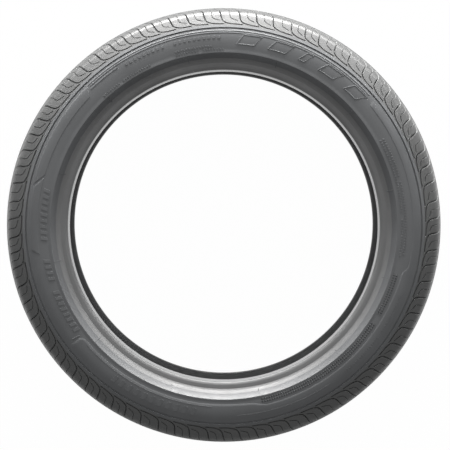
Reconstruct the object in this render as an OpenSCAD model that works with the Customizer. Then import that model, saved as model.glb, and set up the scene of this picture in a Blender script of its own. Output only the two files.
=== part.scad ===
// Low-profile car tyre, lying on its side with its axis along Z and its middle at the origin.
// It is one moulded body: tread, shoulders, sidewalls and beads round an open air chamber.

/* [Overall size] */
// Diameter of the opening at the toes of the beads
bead_d = 457.6; // [450:0.1:462]
// Height from the toes of the beads to the middle of the tread
section_h = 97.7; // [92:0.1:104]
// Width over the ribs that guard the wheel's rim
section_w = 248; // [242:1:258]
// Distance between the outer faces of the two beads
bead_span = 216; // [208:1:222]

/* [Tread] */
// Width of the tread between its two rounded shoulders
tread_w = 195; // [188:1:200]
// Radius of the tread face from side to side
crown_r = 700; // [550:10:1200]
// Radius of the rounded shoulders
shoulder_r = 15; // [13:0.5:18]
// How far the shoulder blocks reach down from the middle of the tread
shoulder_h = 28.5; // [26:0.5:31]
// Depth of the four grooves round the tread
tread_depth = 7.6; // [6:0.1:8.4]
// Width of the four grooves round the tread, at the top
groove_w = 10; // [7:0.5:12]
// Distance from the middle of the tread to the inner pair of grooves
inner_groove_z = 22; // [18:1:26]
// Distance from the middle of the tread to the outer pair of grooves
outer_groove_z = 60; // [54:1:64]

/* [Shoulder blocks] */
// Width of the cross grooves between the shoulder blocks
cross_w = 2.4; // [1.6:0.1:3.4]
// Depth of the cross grooves
cross_depth = 6.2; // [5:0.1:7]
// Width of the hooked foot of each cross groove
foot_w = 1.5; // [1:0.1:2]
// Depth of the hooked foot
foot_depth = 2.2; // [1.4:0.1:3]
// Angle between the cross grooves and the tyre's axis, in degrees
cross_slant = 18; // [10:1:24]
// Share by which a long pitch is longer than the middle one, and a short one shorter
pitch_spread = 0.12; // [0:0.01:0.16]

/* [Sidewalls and beads] */
// Thickness of the tyre at the middle of the tread
crown_wall = 13.5; // [12:0.5:17]
// Thickness of the sidewalls
side_wall = 10; // [8:0.5:12]
// Width of each bead, from its toe to its outer face
bead_w = 19.5; // [17:0.5:22]
// Radius of the heel, where the bead turns from its seat to its outer face
heel_r = 6; // [5:0.5:7]
// Height of the rim guard above the opening
guard_h = 27; // [25:0.5:30]
// Depth of the thin groove that rings each sidewall
ring_depth = 1.2; // [0.8:0.1:1.8]

/* [Hidden] */
$fn = 180;
rubber = [0.235, 0.240, 0.245];
clear = 2;

toe_r = bead_d / 2;
top_r = toe_r + section_h;
side_z = section_w / 2;
heel_z = bead_span / 2;
toe_z = heel_z - bead_w;

// Points are [distance from the axis, height]; an angle of 0 points away from the axis
function on_arc(c, r, a) = c + r * [cos(a), sin(a)];
function arc(c, r, a0, a1, steps) = [for (i = [0 : steps]) on_arc(c, r, a0 + (a1 - a0) * i / steps)];
// Smooth curve that leaves p0 towards p1 and comes into p3 from p2
function curve(p0, p1, p2, p3, steps) = [for (i = [0 : steps]) let (t = i / steps, s = 1 - t)
    s * s * s * p0 + 3 * s * s * t * p1 + 3 * s * t * t * p2 + t * t * t * p3];

// Crown and shoulder
shoulder_end = 60;
crown_c = [top_r - crown_r, 0];
shoulder_start = asin(tread_w / 2 / crown_r);
shoulder_c = on_arc(crown_c, crown_r - shoulder_r, shoulder_start);
shoulder_foot = on_arc(shoulder_c, shoulder_r, shoulder_end);
function crown_at(z) = crown_c[0] + sqrt(crown_r * crown_r - z * z);

// Buttress under the shoulder, then the bevel and the ring groove at the top of the sidewall
foot_r = top_r - shoulder_h;
foot = [foot_r, shoulder_foot[1] + (shoulder_foot[0] - foot_r) / tan(shoulder_end)];
bevel = [4, 2.6];
ring_w = 3.2;
lip = foot + [-bevel[0], bevel[1]];
ring_foot = lip + [-ring_w / 2, -ring_depth];
side_top = lip + [-ring_w, 0.7];

// Sidewall, rounded at its top and flat down to the rib that guards the rim
side_round = [9.8, 2];
guard_w = 3;
guard_step = 0.6;
guard_r = toe_r + guard_h;
side_foot = [guard_r + guard_w + guard_step, side_z - guard_step];

// Bead: hollow for the rim's flange, flat outer face, heel, tapered seat and toe
toe_land = 3.5;
toe_bevel = 1.4;
seat_taper = 10;
seat_w = bead_w - toe_land - heel_r;
seat_r = toe_r + seat_w * tan(seat_taper);
face_r = seat_r + heel_r;
face_h = 4.8;
face_end = [face_r + face_h, heel_z];
guard_foot = [guard_r, side_z - guard_step];
hollow = 3;

// Inside: casing under the tread, turn into the sidewall and slope down to the toe
liner_r = crown_r - crown_wall;
liner_z = side_z - side_wall;
turn_r = 24;
turn_end = 80;
turn_z = liner_z - 1.5 - turn_r * sin(turn_end);
turn_start = asin(turn_z / (liner_r - turn_r));
turn_c = on_arc(crown_c, liner_r - turn_r, turn_start);
chamber_h = turn_c[0] - toe_r;

outer_half = concat(
    arc(crown_c, crown_r, 0, shoulder_start, 6),
    arc(shoulder_c, shoulder_r, shoulder_start, shoulder_end, 6),
    [foot, lip, ring_foot],
    curve(side_top, side_top + [-side_round[0] / 2, side_round[1]],
          [side_top[0] - side_round[0], side_foot[1]], side_foot, 7),
    [[guard_r + guard_w, side_z], [guard_r + guard_step, side_z]],
    curve(guard_foot, guard_foot - [7, 8], face_end + [2 + hollow, hollow - 1], face_end, 5),
    arc([face_r, heel_z - heel_r], heel_r, 90, 180, 5),
    [[toe_r, toe_z + toe_land], [toe_r, toe_z]]
);
inner_half = concat(
    [[toe_r + toe_bevel, toe_z - toe_bevel]],
    curve([toe_r + 4, toe_z - toe_bevel], [toe_r + chamber_h * 0.35, toe_z + 8],
          [toe_r + chamber_h * 0.45, liner_z], [toe_r + chamber_h * 0.8, liner_z], 8),
    [for (i = [5 : -1 : 0]) on_arc(turn_c, turn_r, turn_start + (turn_end - turn_start) * i / 5)],
    [for (i = [4 : -1 : 0]) on_arc(crown_c, liner_r, turn_start * i / 5)]
);
half = concat(outer_half, inner_half);
far_half = [for (i = [len(half) - 2 : -1 : 1]) [half[i][0], -half[i][1]]];

// Groove that runs round the tread, with walls that lean outwards
groove_lean = 7;
module groove(z) {
    top = crown_at(z);
    half_top = groove_w / 2 + clear * tan(groove_lean);
    half_bottom = groove_w / 2 - tread_depth * tan(groove_lean);
    polygon([[top + clear, z - half_top], [top - tread_depth, z - half_bottom],
             [top - tread_depth, z + half_bottom], [top + clear, z + half_top]]);
}

module section() {
    difference() {
        polygon(concat(half, far_half));
        for (z = [-outer_groove_z, -inner_groove_z, inner_groove_z, outer_groove_z]) groove(z);
    }
}

// Order of the pitches: 0 is the middle length, 1 is long and -1 is short
pitch_plan = [0, 0, 1, 0, 0, 1, -1, -1, 1, 0, 1, 0, 0, 0, 0, -1, 1, -1, 0, 1, 0, -1, 0, -1, 0, 0];
plan_runs = 3;
plan_n = len(pitch_plan);
pitch_n = plan_n * plan_runs;
pitch = 360 / pitch_n;
tread_start = 100;
function sum_to(n, i = 0) = i >= n ? 0 : pitch_plan[i] + sum_to(n, i + 1);
function pitch_start(i) = pitch * (i + pitch_spread * sum_to(i % plan_n));
function pitch_length(i) = pitch * (1 + pitch_spread * pitch_plan[i % plan_n]);

// Middle line of a hooked cross groove as [distance from the axis, angle], from the tread down
function hook_line(length) = [
    [top_r + clear, 0.45],
    [foot_r + 8.5, 0.47],
    [foot_r + 5, 0.75],
    [foot_r + 3, 1.5],
    [foot_r + 1.6, 2.4],
    [foot_r + 1, 3.3],
    [foot_r + 1, length + 0.75]
];
hook_widths = [cross_w, cross_w, cross_w, foot_w, foot_w, foot_w, foot_w];

function unit(v) = v / norm(v);
function offset_at(line, i, w) = let (
        before = line[max(i, 1)] - line[max(i, 1) - 1],
        after = line[min(i, len(line) - 2) + 1] - line[min(i, len(line) - 2)],
        along = unit(unit(before) + unit(after)))
    line[i] + w / 2 * [-along[1], along[0]];

// Even band along a line, with its own width at each point
module band(line, widths) {
    last = len(line) - 1;
    polygon(concat([for (i = [0 : last]) offset_at(line, i, widths[i])],
                   [for (i = [last : -1 : 0]) offset_at(line, i, -widths[i])]));
}

// Cross grooves stop short of the outer groove round the tread
cross_start = outer_groove_z + groove_w / 2 + 4;
hook_back = (foot[1] - cross_start) / cos(cross_slant) + 4;
hook_front = side_z - foot[1] + 2 * clear;
module hook(i) {
    line = [for (p = hook_line(pitch_length(i))) p[0] * [cos(p[1]), -sin(p[1])]];
    rotate(tread_start - pitch_start(i)) translate([0, 0, foot[1]]) rotate([cross_slant, 0, 0])
        translate([0, 0, -hook_back])
            linear_extrude(hook_back + hook_front) band(line, hook_widths);
}

// The skin of the shoulder that the cross grooves cut through
module shoulder_skin() {
    rotate_extrude() polygon([
        [foot_r - clear, foot[1] - foot_depth],
        shoulder_foot - [0.6 * cross_depth, 0.8 * cross_depth],
        on_arc(shoulder_c, shoulder_r - cross_depth, 20),
        [crown_at(cross_start) - cross_depth, cross_start],
        [top_r + clear / 2, cross_start],
        [top_r + clear / 2, side_z + clear],
        [foot_r - clear, side_z + clear]
    ]);
}

module shoulder_grooves() {
    intersection() {
        shoulder_skin();
        union() { for (i = [0 : pitch_n - 1]) hook(i); }
    }
}

module tyre() {
    color(rubber)
    difference() {
        rotate_extrude() section();
        shoulder_grooves();
        rotate([180, 0, 0]) shoulder_grooves();
    }
}

tyre();
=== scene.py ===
import math

import bpy
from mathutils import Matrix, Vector


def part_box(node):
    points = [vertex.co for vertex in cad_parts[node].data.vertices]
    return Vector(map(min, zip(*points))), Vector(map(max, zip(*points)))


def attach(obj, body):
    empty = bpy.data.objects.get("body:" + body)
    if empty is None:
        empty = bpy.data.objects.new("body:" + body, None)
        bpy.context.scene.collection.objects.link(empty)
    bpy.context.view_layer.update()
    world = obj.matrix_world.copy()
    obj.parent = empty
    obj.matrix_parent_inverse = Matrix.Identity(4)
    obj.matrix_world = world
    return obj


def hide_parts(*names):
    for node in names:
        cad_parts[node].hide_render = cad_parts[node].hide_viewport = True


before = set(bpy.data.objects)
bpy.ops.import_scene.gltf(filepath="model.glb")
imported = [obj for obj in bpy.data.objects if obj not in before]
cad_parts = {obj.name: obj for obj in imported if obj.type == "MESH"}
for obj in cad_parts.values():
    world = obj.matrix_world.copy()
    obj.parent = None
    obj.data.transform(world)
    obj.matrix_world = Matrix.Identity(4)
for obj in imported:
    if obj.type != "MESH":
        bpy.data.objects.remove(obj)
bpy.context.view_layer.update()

# Casing of the tyre: tread, shoulders, sidewalls and beads, moulded as one body of rubber round
# an open air chamber. Its section is drawn as one outline, point by point, and turned once
# round the axis.
mm = 0.001
merge_gap = 0.01 * mm
skin_gap = 0.1
low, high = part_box("tyre")
crown_top = high[0] / mm - skin_gap
half_width = high[2] / mm - skin_gap / 5
crown_radius = 700
crown_centre = (crown_top - crown_radius, 0)
tread_half = 97.5
tread_depth = 7.6
inner_groove_z = 22
outer_groove_z = 60
groove_half = 5
groove_lean = 0.8
groove_round = 1.4
groove_edge = 0.5
section = []


def on_arc(centre, radius, angle):
    turn = math.radians(angle)
    return (centre[0] + radius * math.cos(turn), centre[1] + radius * math.sin(turn))


def bend(centre, radius, start, end, steps):
    return [on_arc(centre, radius, start + (end - start) * i / steps) for i in range(steps + 1)]


def sweep(start, towards, back, end, steps):
    """Smooth curve that leaves start towards one point and comes into end from another."""
    corners = (start, towards, back, end)
    points = []
    for i in range(steps + 1):
        t = i / steps
        s = 1 - t
        weights = (s * s * s, 3 * s * s * t, 3 * s * t * t, t * t * t)
        points.append(tuple(sum(w * c[k] for w, c in zip(weights, corners)) for k in (0, 1)))
    return points


def crown(z):
    return crown_centre[0] + math.sqrt(crown_radius ** 2 - z ** 2)


def ring_groove(z):
    top = crown(z)
    floor = top - tread_depth
    return [
        (crown(z - groove_half - groove_edge), z - groove_half - groove_edge),
        (top - groove_edge, z - groove_half),
        (floor + groove_round, z - groove_half + groove_lean),
        (floor, z - groove_half + groove_lean + groove_round),
        (floor, z + groove_half - groove_lean - groove_round),
        (floor + groove_round, z + groove_half - groove_lean),
        (top - groove_edge, z + groove_half),
        (crown(z + groove_half + groove_edge), z + groove_half + groove_edge),
    ]


section += [(crown(z), z) for z in (0, 8.5)]
section += ring_groove(inner_groove_z)
section += [(crown(z), z) for z in (34.5, 41, 47.5)]
section += ring_groove(outer_groove_z)
section += [(crown(z), z) for z in (74, 85)]

shoulder_radius = 15
shoulder_start = math.degrees(math.asin(tread_half / crown_radius))
shoulder_end = 60
shoulder_drop = 28.5
bevel = (4, 2.6)
side_ring = (3.2, 0.7)
shoulder_centre = on_arc(crown_centre, crown_radius - shoulder_radius, shoulder_start)
section += bend(shoulder_centre, shoulder_radius, shoulder_start, shoulder_end, 9)
shoulder_foot = section[-1]
foot_r = crown_top - shoulder_drop
foot = (foot_r, shoulder_foot[1] + (shoulder_foot[0] - foot_r) / math.tan(math.radians(shoulder_end)))
lip = (foot[0] - bevel[0], foot[1] + bevel[1])
wall_top = (lip[0] - side_ring[0], lip[1] + side_ring[1])
section += [
    (foot[0] + 0.8, foot[1] - 0.25),
    (foot[0] - 0.4, foot[1] + 0.35),
    (lip[0] + 0.5, lip[1] - 0.25),
    lip,
    (lip[0] - 0.5, lip[1] - 0.3),
    (lip[0] - 1.3, lip[1] - 1.1),
    (lip[0] - 1.9, lip[1] - 1.1),
    (wall_top[0] + 0.5, wall_top[1] - 0.2),
]

mark_room = 0.6
wall_z = half_width - mark_room
guard_r = 255.8
wall_crest = (guard_r + 10.2, wall_z)
wall = sweep(wall_top, (wall_top[0] - 4.8, wall_top[1] + 2),
             (wall_top[0] - 9.8, wall_z), wall_crest, 14)
wall += [(guard_r + 6.8, wall_z - 0.03), (guard_r + 3.6, wall_z - 0.12)]
section += wall

toe_r = 228.8
seat_r = 230.6
heel_z = 108
heel_radius = 6
bead_width = 19.5
toe_z = heel_z - bead_width
face_end = (241.4, heel_z)
guard = [(guard_r + 3, wall_z)]
slope_top = (guard_r + 0.6, wall_z)
slope = sweep(slope_top, (slope_top[0] - 6.5, slope_top[1] - 5.5),
              (face_end[0] + 5, face_end[1] + 2), face_end, 12)
section += guard + slope
section += bend((seat_r + heel_radius, heel_z - heel_radius), heel_radius, 90, 180, 8)
section += [
    (toe_r + 0.8, toe_z + 8),
    (toe_r, toe_z + 3.5),
    (toe_r, toe_z + 0.6),
    (toe_r + 0.5, toe_z - 0.7),
    (toe_r + 1.6, toe_z - 1.4),
]

crown_thickness = 13.5
wall_thickness = 10
turn_radius = 24
turn_end = 80
inner_wall_z = half_width - wall_thickness
liner_radius = crown_radius - crown_thickness
turn_z = inner_wall_z - 1.5 - turn_radius * math.sin(math.radians(turn_end))
turn_start = math.degrees(math.asin(turn_z / (liner_radius - turn_radius)))
turn_centre = on_arc(crown_centre, liner_radius - turn_radius, turn_start)
chamber = turn_centre[0] - toe_r
section += sweep((toe_r + 4, toe_z - 1.4), (toe_r + chamber * 0.35, toe_z + 8),
                 (toe_r + chamber * 0.45, inner_wall_z), (toe_r + chamber * 0.8, inner_wall_z), 10)
section += bend(turn_centre, turn_radius, turn_end, turn_start, 7)
section += bend(crown_centre, liner_radius, turn_start * 0.8, 0, 4)
section += [(r, -z) for r, z in reversed(section[1:-1])]
turn_steps = 234


def draw_line(name, points):
    """Line of edges through the points, left in edit mode and selected all over."""
    bpy.ops.object.select_all(action="DESELECT")
    bpy.ops.mesh.primitive_plane_add(size=mm)
    bpy.ops.object.mode_set(mode="EDIT")
    bpy.ops.mesh.merge(type="CENTER")
    bpy.ops.transform.translate(value=points[0])
    for here, there in zip(points, points[1:]):
        step = tuple(b - a for a, b in zip(here, there))
        bpy.ops.mesh.extrude_region_move(TRANSFORM_OT_translate={"value": step})
    bpy.ops.mesh.select_all(action="SELECT")
    piece = bpy.context.active_object
    piece.name = name
    return piece


def turn_section(name, outline):
    """Ring made by turning an outline of [distance from the axis, height] round the axis."""
    points = [(r * mm, 0, z * mm) for r, z in outline]
    piece = draw_line(name, points + points[:1])
    bpy.ops.mesh.remove_doubles(threshold=merge_gap)
    bpy.ops.mesh.select_all(action="SELECT")
    bpy.ops.mesh.spin(steps=turn_steps, angle=math.tau, center=(0, 0, 0), axis=(0, 0, 1))
    bpy.ops.mesh.select_all(action="SELECT")
    bpy.ops.mesh.remove_doubles(threshold=merge_gap)
    bpy.ops.mesh.normals_make_consistent(inside=False)
    bpy.ops.object.mode_set(mode="OBJECT")
    return piece


tyre = turn_section("tyre_body", section)

# Cross grooves of the shoulders. Each is one blade of the mould: it crosses the tread's edge at
# a slant, runs down the shoulder and hooks round under the block beside it. The blades stand in
# pitches of three lengths, which keeps the tread from humming.
pitch_plan = [0, 0, 1, 0, 0, 1, -1, -1, 1, 0, 1, 0, 0, 0, 0, -1, 1, -1, 0, 1, 0, -1, 0, -1, 0, 0]
pitch_runs = 3
pitch_spread = 0.12
pitch = 360 / (pitch_runs * len(pitch_plan))
pitch_lengths = {kind: pitch * (1 + pitch_spread * kind) for kind in (-1, 0, 1)}
first_pitch = 100
slant = 18
clear = 2
shoulder_middle = 20
inward = (0.6, 0.8)
hook_widths = [2.4, 2.4, 2.4, 2.2, 2.0, 1.8, 1.6, 1.5, 1.5, 1.5]


def hook_line(length):
    return [
        (crown_top + clear, 0.45),
        (foot_r + 14, 0.42),
        (foot_r + 8.5, 0.48),
        (foot_r + 5.5, 0.68),
        (foot_r + 4, 1.0),
        (foot_r + 2.8, 1.5),
        (foot_r + 1.9, 2.1),
        (foot_r + 1.3, 2.8),
        (foot_r + 1, 3.6),
        (foot_r + 1, length + 0.75),
    ]


def thicken(piece, thickness, offset, group=""):
    bpy.ops.object.modifier_add(type="SOLIDIFY")
    solidify = piece.modifiers[-1]
    solidify.thickness = thickness * mm
    solidify.offset = offset
    solidify.vertex_group = group
    bpy.ops.object.modifier_apply(modifier=solidify.name)


def blade(name, line, widths, height, back, front, lean):
    """Slanted wall that stands on a line of [distance from the axis, angle] and width."""
    points = []
    for r, angle in line:
        turn = math.radians(angle)
        points.append((r * math.cos(turn) * mm, -r * math.sin(turn) * mm, -back * mm))
    piece = draw_line(name, points)
    bpy.ops.mesh.extrude_region_move(TRANSFORM_OT_translate={"value": (0, 0, (back + front) * mm)})
    bpy.ops.object.mode_set(mode="OBJECT")
    group = piece.vertex_groups.new(name="width")
    for vertex in piece.data.vertices:
        nearest = min(range(len(points)), key=lambda k: (vertex.co.xy - Vector(points[k][:2])).length)
        group.add([vertex.index], widths[nearest] / max(widths), "REPLACE")
    thicken(piece, max(widths), 0, group.name)
    piece.rotation_euler = (math.radians(lean), 0, 0)
    piece.location = (0, 0, height * mm)
    bpy.ops.object.transform_apply(location=True, rotation=True, scale=False)
    return piece


def copy_of(model):
    """Copy with its own mesh."""
    copy = model.copy()
    copy.data = model.data.copy()
    bpy.context.collection.objects.link(copy)
    return copy


def copies_round(name, models):
    """One copy of a model for each pitch, by the pitch's kind, joined as one piece."""
    bpy.ops.object.select_all(action="DESELECT")
    start = 0
    for kind in pitch_plan * pitch_runs:
        copy = copy_of(models[kind])
        copy.rotation_euler = (0, 0, math.radians(first_pitch - start))
        copy.select_set(True)
        start += pitch_lengths[kind]
    bpy.context.view_layer.objects.active = copy
    bpy.ops.object.transform_apply(location=False, rotation=True, scale=False)
    bpy.ops.object.join()
    for model in models.values():
        bpy.data.objects.remove(model)
    copy.name = name
    return copy


def combine(piece, other, operation):
    bpy.ops.object.select_all(action="DESELECT")
    bpy.context.view_layer.objects.active = piece
    piece.select_set(True)
    bpy.ops.object.modifier_add(type="BOOLEAN")
    boolean = piece.modifiers[-1]
    boolean.solver = "MANIFOLD"
    boolean.operation = operation
    boolean.object = other
    bpy.ops.object.modifier_apply(modifier=boolean.name)
    bpy.data.objects.remove(other)


def groove_skin(depth, foot_depth, start, inner_r):
    """Ring that reaches from the air to the bottom of the grooves, all over the shoulder."""
    side = foot[1] + (foot_r - inner_r) / math.tan(math.radians(shoulder_end))
    return turn_section("groove_depth", [
        (inner_r, side - foot_depth),
        (shoulder_foot[0] - inward[0] * depth, shoulder_foot[1] - inward[1] * depth),
        on_arc(shoulder_centre, shoulder_radius - depth, shoulder_middle),
        (crown(start) - depth, start),
        (crown_top + clear / 2, start),
        (crown_top + clear / 2, half_width + clear),
        (inner_r, half_width + clear),
    ])


def flipped(piece):
    """The same piece for the other side of the tyre, turned over about X."""
    bpy.ops.object.select_all(action="DESELECT")
    other = copy_of(piece)
    other.rotation_euler = (math.pi, 0, 0)
    other.select_set(True)
    bpy.context.view_layer.objects.active = other
    bpy.ops.object.transform_apply(location=False, rotation=True, scale=False)
    return other


def cut_both_sides(cutter):
    other = flipped(cutter)
    combine(tyre, cutter, "DIFFERENCE")
    combine(tyre, other, "DIFFERENCE")


grooves = copies_round("shoulder_grooves", {
    kind: blade("hook", hook_line(length), hook_widths, height=foot[1], back=56, front=14, lean=slant)
    for kind, length in pitch_lengths.items()})
combine(grooves, groove_skin(depth=6.2, foot_depth=2.2, start=69, inner_r=foot_r - 2), "INTERSECT")
cut_both_sides(grooves)

# Sipes: thin cuts that let the rubber blocks flex. One follows the hook in each shoulder block,
# and shorter ones lead from the ring grooves into the ribs between them.
sipe_width = 1.1


def sipe_line(length):
    stretch = length / pitch
    return [
        (crown_top + clear, 2.62 * stretch),
        (foot_r + 20, 2.62 * stretch),
        (foot_r + 16, 2.52 * stretch),
        (foot_r + 12.5, 2.48 * stretch),
        (foot_r + 10.2, 2.62 * stretch),
        (foot_r + 8.9, 2.95 * stretch),
        (foot_r + 7.8, 3.5 * stretch),
        (foot_r + 6.4, 4.2 * stretch),
    ]


sipes = copies_round("shoulder_sipes", {
    kind: blade("sipe", sipe_line(length), [sipe_width] * 8, height=foot[1], back=40, front=14, lean=slant)
    for kind, length in pitch_lengths.items()})
combine(sipes, groove_skin(depth=3, foot_depth=3, start=78, inner_r=foot_r + 4), "INTERSECT")
cut_both_sides(sipes)
for name, width, depth, height, back, front, lean, share in (
        ("rib_slot", 1.8, 6.2, 46, 9, 11, 28, 0.62),
        ("centre_sipe", 0.9, 4, 13.5, 6, 5, -28, 0.3)):
    slots = copies_round(name, {
        kind: blade(name, [(crown_top - depth, length * share), (crown_top + clear, length * share)],
                    [width, width], height, back, front, lean)
        for kind, length in pitch_lengths.items()})
    cut_both_sides(slots)

# Wear bars: low bridges across the ring grooves, which come level with the tread when the tyre
# is worn out. They stand at six places round the tyre, and each is moulded into the rubber.
wear_places = 6
first_wear_place = 0.25
wear_height = 1.6
wear_sink = 2
wear_length = 12
wear_width = 2 * groove_half - 1
for z in (-outer_groove_z, -inner_groove_z, inner_groove_z, outer_groove_z):
    wear_r = crown(z) - tread_depth + wear_height / 2 - wear_sink / 2
    for i in range(wear_places):
        bpy.ops.object.select_all(action="DESELECT")
        bpy.ops.mesh.primitive_cube_add(size=mm, location=(wear_r * mm, 0, z * mm))
        bridge = bpy.context.active_object
        bridge.scale = (wear_height + wear_sink, wear_length, wear_width)
        bpy.ops.object.transform_apply(location=True, rotation=False, scale=True)
        bridge.rotation_euler = (0, 0, math.tau * (i + first_wear_place) / wear_places)
        bpy.ops.object.transform_apply(location=False, rotation=True, scale=False)
        combine(tyre, bridge, "UNION")

bpy.ops.object.select_all(action="DESELECT")
tyre.select_set(True)
bpy.context.view_layer.objects.active = tyre
bpy.ops.object.shade_smooth_by_angle(angle=math.radians(24))

# Rubber compounds of the casing. The tread is grained, and its grooves are painted paler, a painted light
# that lifts the shade at their bottoms.
# The sidewalls have the finish of a turned mould, which is strongest on the strip beside the rim; that
# strip is painted paler, a painted light for the fill light on the bead's flank. The bead's seat has a
# glossy film, and a smooth sheet lines the air chamber, its grey partly its own and partly painted light
# that brightens the shaded chamber.
moulded = bpy.data.node_groups.new("moulded_rubber", "ShaderNodeTree")
for name, socket_type in (("Color", "NodeSocketColor"), ("Roughness", "NodeSocketFloat"),
                          ("Grain", "NodeSocketFloat"), ("Turning", "NodeSocketFloat")):
    moulded.interface.new_socket(name, in_out="INPUT", socket_type=socket_type)
for name, socket_type in (("Color", "NodeSocketColor"), ("Roughness", "NodeSocketFloat"),
                          ("Normal", "NodeSocketVector")):
    moulded.interface.new_socket(name, in_out="OUTPUT", socket_type=socket_type)
nodes = moulded.nodes
links = moulded.links
given = nodes.new("NodeGroupInput")
result = nodes.new("NodeGroupOutput")
place = nodes.new("ShaderNodeTexCoord")
noise_low = 0.3
noise_high = 0.7


def noise(scale, detail):
    node = nodes.new("ShaderNodeTexNoise")
    node.inputs["Scale"].default_value = scale
    node.inputs["Detail"].default_value = detail
    links.new(place.outputs["Object"], node.inputs["Vector"])
    return node.outputs["Fac"]


def spread_over(source, low_end, high_end):
    node = nodes.new("ShaderNodeMapRange")
    node.inputs["From Min"].default_value = noise_low
    node.inputs["From Max"].default_value = noise_high
    node.inputs["To Min"].default_value = low_end
    node.inputs["To Max"].default_value = high_end
    links.new(source, node.inputs["Value"])
    return node.outputs["Result"]


def calculate(operation, *values):
    """Math node in the tree at hand, on sockets and plain numbers."""
    node = nodes.new("ShaderNodeMath")
    node.operation = operation
    for socket, value in zip(node.inputs, values):
        if isinstance(value, bpy.types.NodeSocket):
            links.new(value, socket)
        else:
            socket.default_value = value
    return node.outputs["Value"]


bloom = nodes.new("ShaderNodeVectorMath")
bloom.operation = "SCALE"
links.new(given.outputs["Color"], bloom.inputs["Vector"])
links.new(spread_over(noise(scale=16, detail=5), 0.92, 1.08), bloom.inputs["Scale"])
links.new(bloom.outputs["Vector"], result.inputs["Color"])
handling = spread_over(noise(scale=60, detail=6), -0.04, 0.05)
links.new(calculate("ADD", given.outputs["Roughness"], handling), result.inputs["Roughness"])

flat = nodes.new("ShaderNodeVectorMath")
flat.operation = "MULTIPLY"
flat.inputs[1].default_value = (1, 1, 0)
links.new(place.outputs["Object"], flat.inputs[0])
from_axis = nodes.new("ShaderNodeVectorMath")
from_axis.operation = "LENGTH"
links.new(flat.outputs["Vector"], from_axis.inputs[0])
turning = nodes.new("ShaderNodeTexNoise")
turning.noise_dimensions = "1D"
turning.inputs["Scale"].default_value = 400
links.new(from_axis.outputs["Value"], turning.inputs["W"])
turned_height = calculate("MULTIPLY", turning.outputs["Fac"], given.outputs["Turning"])
grain_height = calculate("MULTIPLY", noise(scale=1300, detail=2), given.outputs["Grain"])
relief = nodes.new("ShaderNodeBump")
relief.inputs["Distance"].default_value = 0.06 * mm
links.new(calculate("ADD", turned_height, grain_height), relief.inputs["Height"])
links.new(relief.outputs["Normal"], result.inputs["Normal"])


def rubber(name, color, roughness, grain, turned, shine, film=0.0):
    """Material of one compound, with the finish that its part of the mould gives it."""
    compound = bpy.data.materials.new(name)
    compound.use_nodes = True
    tree = compound.node_tree
    look = tree.nodes.new("ShaderNodeGroup")
    look.node_tree = moulded
    look.inputs["Color"].default_value = (*color, 1)
    look.inputs["Roughness"].default_value = roughness
    look.inputs["Grain"].default_value = grain
    look.inputs["Turning"].default_value = turned
    shader = tree.nodes["Principled BSDF"]
    shader.inputs["Specular IOR Level"].default_value = shine
    shader.inputs["Coat Weight"].default_value = film
    shader.inputs["Coat Roughness"].default_value = 0.2
    tree.links.new(look.outputs["Color"], shader.inputs["Base Color"])
    tree.links.new(look.outputs["Roughness"], shader.inputs["Roughness"])
    tree.links.new(look.outputs["Normal"], shader.inputs["Normal"])
    return compound


compounds = [
    rubber("tread_rubber", (0.0635, 0.0645, 0.0645), roughness=0.42, grain=0.5, turned=0, shine=0.7),
    # groove rubber: painted paler, a painted light that lifts the shade in the grooves
    rubber("groove_painted_light_rubber", (0.21, 0.213, 0.213), roughness=0.6, grain=0.5, turned=0, shine=0.5),
    rubber("sidewall_rubber", (0.1, 0.103, 0.1065), roughness=0.42, grain=0.25, turned=0.3, shine=0.4),
    # rim strip: painted paler, a painted light for the fill light on the bead's flank
    rubber("rim_strip_painted_light_rubber", (0.146, 0.147, 0.148), roughness=0.42, grain=0.05, turned=2.4, shine=0.48),
    rubber("bead_seat_rubber", (0.14, 0.142, 0.144), roughness=0.18, grain=0.05, turned=0.1, shine=1,
           film=0.9),
    # liner: grey partly its own, partly painted light that brightens the shaded chamber
    rubber("liner_painted_light_rubber", (0.27, 0.272, 0.276), roughness=0.4, grain=0.2, turned=0, shine=0.6),
]
tread_rubber, groove_painted_light_rubber, sidewall_rubber, rim_strip_painted_light_rubber, bead_seat_rubber, liner_painted_light_rubber = compounds
toe_band = toe_r + 3
seat_band = seat_r + 0.9
bead_split = (240, heel_z - 4)
chamber_skin = 1
painted_light_strip_end = guard_r - 8
tread_end = foot_r - 0.2
painted_light_depth = 0.5


def inside_chamber(r, z):
    if z < turn_centre[1]:
        return toe_band < r < crown_centre[0] + liner_radius + chamber_skin
    if r > turn_centre[0]:
        return math.dist((r, z), turn_centre) < turn_radius + chamber_skin
    return z < min(inner_wall_z + chamber_skin / 2, bead_split[1] + (r - bead_split[0]) / 2)


def depth_in_tread(r, z):
    if z < shoulder_centre[1]:
        return crown(z) - r
    turn = math.degrees(math.atan2(z - shoulder_centre[1], r - shoulder_centre[0]))
    if turn < shoulder_end:
        return shoulder_radius - math.dist((r, z), shoulder_centre)
    lean = math.radians(shoulder_end)
    return (shoulder_foot[0] - r) * math.cos(lean) + (shoulder_foot[1] - z) * math.sin(lean)


def rubber_at(r, z):
    if r < toe_band or (r < seat_band and z > heel_z - heel_radius):
        return bead_seat_rubber
    if inside_chamber(r, z):
        return liner_painted_light_rubber
    if r > tread_end:
        # deep faces of the tread get the paler groove colour: painted light in the grooves
        return groove_painted_light_rubber if depth_in_tread(r, z) > painted_light_depth else tread_rubber
    # the bead's flank inside the strip's end gets the paler strip colour: painted light
    return rim_strip_painted_light_rubber if r < painted_light_strip_end else sidewall_rubber


tyre.data.materials.clear()
for compound in compounds:
    tyre.data.materials.append(compound)
for polygon in tyre.data.polygons:
    compound = rubber_at(polygon.center.xy.length / mm, abs(polygon.center.z) / mm)
    polygon.material_index = compounds.index(compound)
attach(tyre, "root")
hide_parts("tyre")

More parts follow.
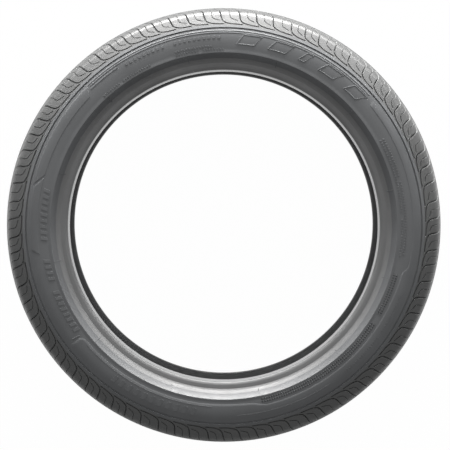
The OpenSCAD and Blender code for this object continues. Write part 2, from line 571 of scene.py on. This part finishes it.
# Marks moulded on the sidewalls: low panels, ribs, frames, serrated bands and plain bars, raised
# less than a millimetre. Each is laid out flat, clockwise from the top of the tyre, and then
# wrapped onto the sidewall. They are of the sidewall's rubber, and the serrated bands lie on dark
# panels, a painted shade for the shade among their fine ridges.
per_degree = 4.8
mark_height = 0.58
mark_sink = 0.5
panel_dip = 0.1
panel_slope = 0.8
panel_rows = 7
bar_slope = 0.7
rib_step = 1.5
frame_lean = 2
# Its dark colour is painted shade, for the shade among the bands' fine ridges.
serrated_painted_shade_rubber = rubber("serrated_painted_shade_rubber", (0.05, 0.051, 0.053), roughness=0.55, grain=0.5, turned=0,
                         shine=0.4)
face = sorted(wall + guard + slope)


def face_height(r):
    for (r0, z0), (r1, z1) in zip(face, face[1:]):
        if r <= r1:
            return z0 + (z1 - z0) * (r - r0) / (r1 - r0)
    return face[-1][1]


def reach(line, share):
    """The point at a share of the angle that a line of [clockwise angle, distance] covers."""
    angle = line[0][0] + (line[-1][0] - line[0][0]) * share
    for (a0, r0), (a1, r1) in zip(line, line[1:]):
        if angle <= a1:
            return angle, r0 + (r1 - r0) * (angle - a0) / (a1 - a0)
    return line[-1]


def panel(inner, outer, height, merge=0.0):
    """Low panel between two lines of [clockwise angle, distance from the axis].

    Over the distance merge, its outer side runs out into the sidewall.
    """
    columns = max(4, round(inner[-1][0] - inner[0][0]))
    bpy.ops.object.select_all(action="DESELECT")
    bpy.ops.mesh.primitive_grid_add(x_subdivisions=columns, y_subdivisions=panel_rows, size=1)
    piece = bpy.context.active_object
    for vertex in piece.data.vertices:
        near = reach(inner, vertex.co.x + 0.5)
        far = reach(outer, vertex.co.x + 0.5)
        angle, r = (n + (f - n) * (vertex.co.y + 0.5) for n, f in zip(near, far))
        vertex.co = (angle * per_degree * mm, r * mm, -panel_dip * mm)
    bpy.ops.object.mode_set(mode="EDIT")
    bpy.ops.mesh.select_all(action="SELECT")
    bpy.ops.mesh.inset(thickness=panel_slope * mm, depth=(height + panel_dip) * mm, use_even_offset=True)
    bpy.ops.object.mode_set(mode="OBJECT")
    for vertex in piece.data.vertices:
        share = min(1, (outer[0][1] * mm - vertex.co.y) / max(merge * mm, merge_gap))
        vertex.co.z = (vertex.co.z + panel_dip * mm) * share - panel_dip * mm
    thicken(piece, mark_sink, -1)
    return piece


def rib(points, half_rib=1.0):
    """Low rounded rib along a line of [clockwise angle, distance from the axis]."""
    dense = []
    for (a0, r0), (a1, r1) in zip(points, points[1:]):
        steps = max(1, round(abs(a1 - a0) / rib_step))
        dense += [(a0 + (a1 - a0) * i / steps, r0 + (r1 - r0) * i / steps) for i in range(steps)]
    dense.append(points[-1])
    draw_line("rib", [(a * per_degree * mm, r * mm, 0) for a, r in dense])
    bpy.ops.object.mode_set(mode="OBJECT")
    bpy.ops.object.convert(target="CURVE")
    curve = bpy.context.active_object.data
    curve.bevel_depth = half_rib * mm
    curve.bevel_resolution = 2
    curve.use_fill_caps = True
    bpy.ops.object.convert(target="MESH")
    piece = bpy.context.active_object
    piece.scale = (1, 1, mark_height / half_rib)
    return piece


def frame_rib(start, end, r_inner, r_outer, lean):
    """Slanted frame made of one closed rib."""
    middle = (r_inner + r_outer) / 2
    return rib([(start + 1, r_inner), (end, r_inner), (end + lean, r_outer),
                (start + lean, r_outer), (start + lean / 2, middle), (start, r_inner),
                (start + 1, r_inner)])


def bar(width, length, lean=0.0, height=mark_height):
    """Plain bar with sloping sides, which stands across the sidewall."""
    bpy.ops.object.select_all(action="DESELECT")
    bpy.ops.mesh.primitive_cube_add(size=mm, location=(0, 0, (height - mark_sink) / 2 * mm))
    piece = bpy.context.active_object
    piece.scale = (width, length, height + mark_sink)
    bpy.ops.object.transform_apply(location=True, rotation=False, scale=True)
    for vertex in piece.data.vertices:
        if vertex.co.z > 0:
            vertex.co.x *= 1 - bar_slope / width
            vertex.co.y *= 1 - bar_slope / length
        vertex.co.x += vertex.co.y * math.tan(math.radians(lean))
    return piece


def along(start, end, step, r):
    return [(start + i * step, r) for i in range(int((end - start) / step) + 1)]


def row(model, places):
    """Copies of a bar at a list of [clockwise angle, distance from the axis]."""
    copies = []
    for angle, r in places:
        copy = copy_of(model)
        copy.location = (angle * per_degree * mm, r * mm, 0)
        copies.append(copy)
    bpy.data.objects.remove(model)
    return copies


def wrapped(name, pieces):
    """The flat pieces, joined as one and laid round the sidewall."""
    bpy.ops.object.select_all(action="DESELECT")
    for piece in pieces:
        piece.select_set(True)
    bpy.context.view_layer.objects.active = pieces[0]
    bpy.ops.object.transform_apply(location=True, rotation=True, scale=True)
    bpy.ops.object.join()
    joined = bpy.context.active_object
    for vertex in joined.data.vertices:
        turn = math.radians(vertex.co.x / mm / per_degree)
        r = vertex.co.y
        vertex.co = (r * math.sin(turn), r * math.cos(turn), face_height(r / mm) * mm + vertex.co.z)
    joined.name = name
    bpy.ops.object.mode_set(mode="EDIT")
    bpy.ops.mesh.select_all(action="SELECT")
    bpy.ops.mesh.normals_make_consistent(inside=False)
    bpy.ops.object.mode_set(mode="OBJECT")
    bpy.ops.object.shade_smooth_by_angle(angle=math.radians(30))
    return joined


marks = [
    panel([(50.6, 279), (102.8, 279), (104.8, 271.4), (118, 270.2), (166.5, 270.2), (171, 264.4),
           (176, 263.4), (229.4, 263.4), (231.2, 264.6), (232.3, 270)],
          [(49.5, 289.5), (232.3, 289.5)], 0.32, 7),
    panel([(261.2, 274.6), (285.2, 274.6)], [(262.5, 287), (281.8, 287)], 0.4),
    panel([(286, 274.2), (314, 274.2)], [(282.3, 288.6), (316, 288.6)], 0.45),
    rib([(315.5, 289), (408, 289)]),
    rib([(316.5, 286), (407, 286)]),
    rib([(146, 281), (176, 281)]),
    rib([(184, 267.8), (229, 267.8)]),
    rib([(232.8, 268), (233.2, 279)]),
    rib([(316, 281.8), (326, 281.8)], 1.2),
]
for start, end in ((4, 11.5), (14, 21.5), (24, 28), (31, 38.5), (41, 48)):
    marks.append(frame_rib(start, end - frame_lean, 269.5, 284, frame_lean))
marks += row(bar(6.5, 11, 14, 0.7), along(189.5, 217.5, 2.6, 277.4))
marks += row(bar(5.2, 9.6, 12), along(235, 249, 1.9, 266.2) + along(253, 260, 1.9, 266.2)
             + along(266, 283, 1.9, 266.2))
marks += row(bar(4.4, 4.6, 10), along(329, 342, 1.5, 279.4) + along(345, 359, 1.5, 279.4))
for start, end, r in ((61.5, 74, 268.4), (76, 99.5, 268.4), (61.5, 86, 263.4), (88, 100, 263.4),
                      (112, 124, 280.2), (126, 139.5, 280.2), (317.5, 324, 260.9), (325.5, 336, 260.9),
                      (344.5, 352, 261.2), (353.5, 360, 261.2), (344.5, 356, 266.3)):
    marks += row(bar(2.4, 3), along(start, end, 0.88, r))
for angle in range(18, 378, 30):
    marks.append(rib([(angle, r) for r in (246, 248.5, 251, 253.5, 255.6)], 0.7))

# Dark panels under the serrated bands: painted shade.
serrated = []
for start, end in ((105.5, 119.8), (122.8, 168)):
    for r_inner, r_outer in ((259.8, 262.9), (263.9, 267.1)):
        serrated.append(panel([(start, r_inner), (end, r_inner)], [(start, r_outer), (end, r_outer)], 0.12))
        marks += row(bar(1.7, r_outer - r_inner - 0.4),
                     along(start + 0.4, end, 0.8, (r_inner + r_outer) / 2))
for pieces, compound in ((marks, sidewall_rubber), (serrated, serrated_painted_shade_rubber)):
    for mark in pieces:
        mark.data.materials.clear()
        mark.data.materials.append(compound)

near_marks = wrapped("sidewall_marks", marks + serrated)
far_marks = flipped(near_marks)
far_marks.name = "far_sidewall_marks"
for piece in (near_marks, far_marks):
    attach(piece, "root")

# Studio floor: plain and white, just under the tyre. It glows evenly to the camera and to glossy
# surfaces, but near the picture's lower edge a glossy surface mirrors only what the lamps light.
floor_gap = 0.0005
floor_size = 12
fade_start = -0.36
fade_end = -0.22
camera_share = 0.985
bounce_strength = 0.76
bpy.ops.object.select_all(action="DESELECT")
bpy.ops.mesh.primitive_plane_add(size=floor_size, location=(0, 0, low[2] - floor_gap))
studio_floor = bpy.context.active_object
studio_floor.name = "studio_floor"
white = bpy.data.materials.new("white_floor")
white.use_nodes = True
nodes = white.node_tree.nodes
links = white.node_tree.links
path = nodes.new("ShaderNodeLightPath")
place = nodes.new("ShaderNodeTexCoord")
spot = nodes.new("ShaderNodeSeparateXYZ")
links.new(place.outputs["Object"], spot.inputs["Vector"])
fade = nodes.new("ShaderNodeMapRange")
fade.interpolation_type = "SMOOTHSTEP"
fade.inputs["From Min"].default_value = fade_start
fade.inputs["From Max"].default_value = fade_end
links.new(spot.outputs["Y"], fade.inputs["Value"])
mirrored = calculate("MULTIPLY", path.outputs["Is Glossy Ray"], fade.outputs["Result"])
through = calculate("MAXIMUM", mirrored, path.outputs["Is Transmission Ray"])
in_view = calculate("MULTIPLY", path.outputs["Is Camera Ray"], camera_share)
glow = nodes.new("ShaderNodeEmission")
links.new(calculate("MULTIPLY_ADD", path.outputs["Is Camera Ray"], 1 - bounce_strength, bounce_strength),
          glow.inputs["Strength"])
matt = nodes["Principled BSDF"]
matt.inputs["Base Color"].default_value = (0.8, 0.8, 0.8, 1)
matt.inputs["Roughness"].default_value = 0.9
mix = nodes.new("ShaderNodeMixShader")
links.new(calculate("MAXIMUM", in_view, through), mix.inputs["Fac"])
links.new(matt.outputs["BSDF"], mix.inputs[1])
links.new(glow.outputs["Emission"], mix.inputs[2])
links.new(mix.outputs["Shader"], nodes["Material Output"].inputs["Surface"])
studio_floor.data.materials.append(white)

# Lamps: soft boxes in a wide arc. The strong ones stand low beyond the top edge of the picture
# and graze the tyre, and a weak one hangs overhead. The room itself gives an even light.
lamp_distance = 5
lamp_side = 1.1
lamp_aim = Vector((0, 0, 0.1))
warm = (1, 0.99, 0.978)
plain = (1, 1, 1)
for name, azimuth, elevation, width, power, tint in (
        ("top_light", 0, 0.5, 3.4, 945, warm),
        ("top_right_light", 20, 3, 2, 176, warm),
        ("top_left_light", -20, 3, 2, 190, warm),
        ("upper_light", 0, 18, 2, 80, plain),
        ("right_light", 40, 12, 2, 94, plain),
        ("left_light", -40, 12, 2, 60, plain),
        ("overhead_light", 0, 78, 2, 28, plain)):
    turn = math.radians(azimuth)
    lift = math.radians(elevation)
    away = Vector((math.sin(turn) * math.cos(lift), math.cos(turn) * math.cos(lift), math.sin(lift)))
    bpy.ops.object.light_add(type="AREA", location=lamp_aim + away * lamp_distance)
    lamp = bpy.context.active_object
    lamp.name = name
    lamp.data.shape = "RECTANGLE"
    lamp.data.size = width
    lamp.data.size_y = lamp_side
    lamp.data.energy = power
    lamp.data.color = tint
    lamp.rotation_euler = (-away).to_track_quat("-Z", "Y").to_euler()

room_strength = 0.38
room = bpy.data.worlds.new("studio")
bpy.context.scene.world = room
room.use_nodes = True
room.node_tree.nodes["Background"].inputs["Color"].default_value = (1, 1, 1, 1)
room.node_tree.nodes["Background"].inputs["Strength"].default_value = room_strength

# Camera: straight above the tyre, with a long lens, a little off the axis and tilted back to it.
camera_place = (-0.009, 0.0908, 5.353)
camera_lens = 283.4
camera_tilt = -0.977
camera_swing = -0.117
bpy.ops.object.camera_add(location=camera_place)
camera = bpy.context.active_object
camera.data.lens = camera_lens
camera.rotation_euler = (math.radians(camera_tilt), math.radians(camera_swing), 0)
bpy.context.scene.camera = camera
bpy.context.scene.view_settings.view_transform = "Standard"
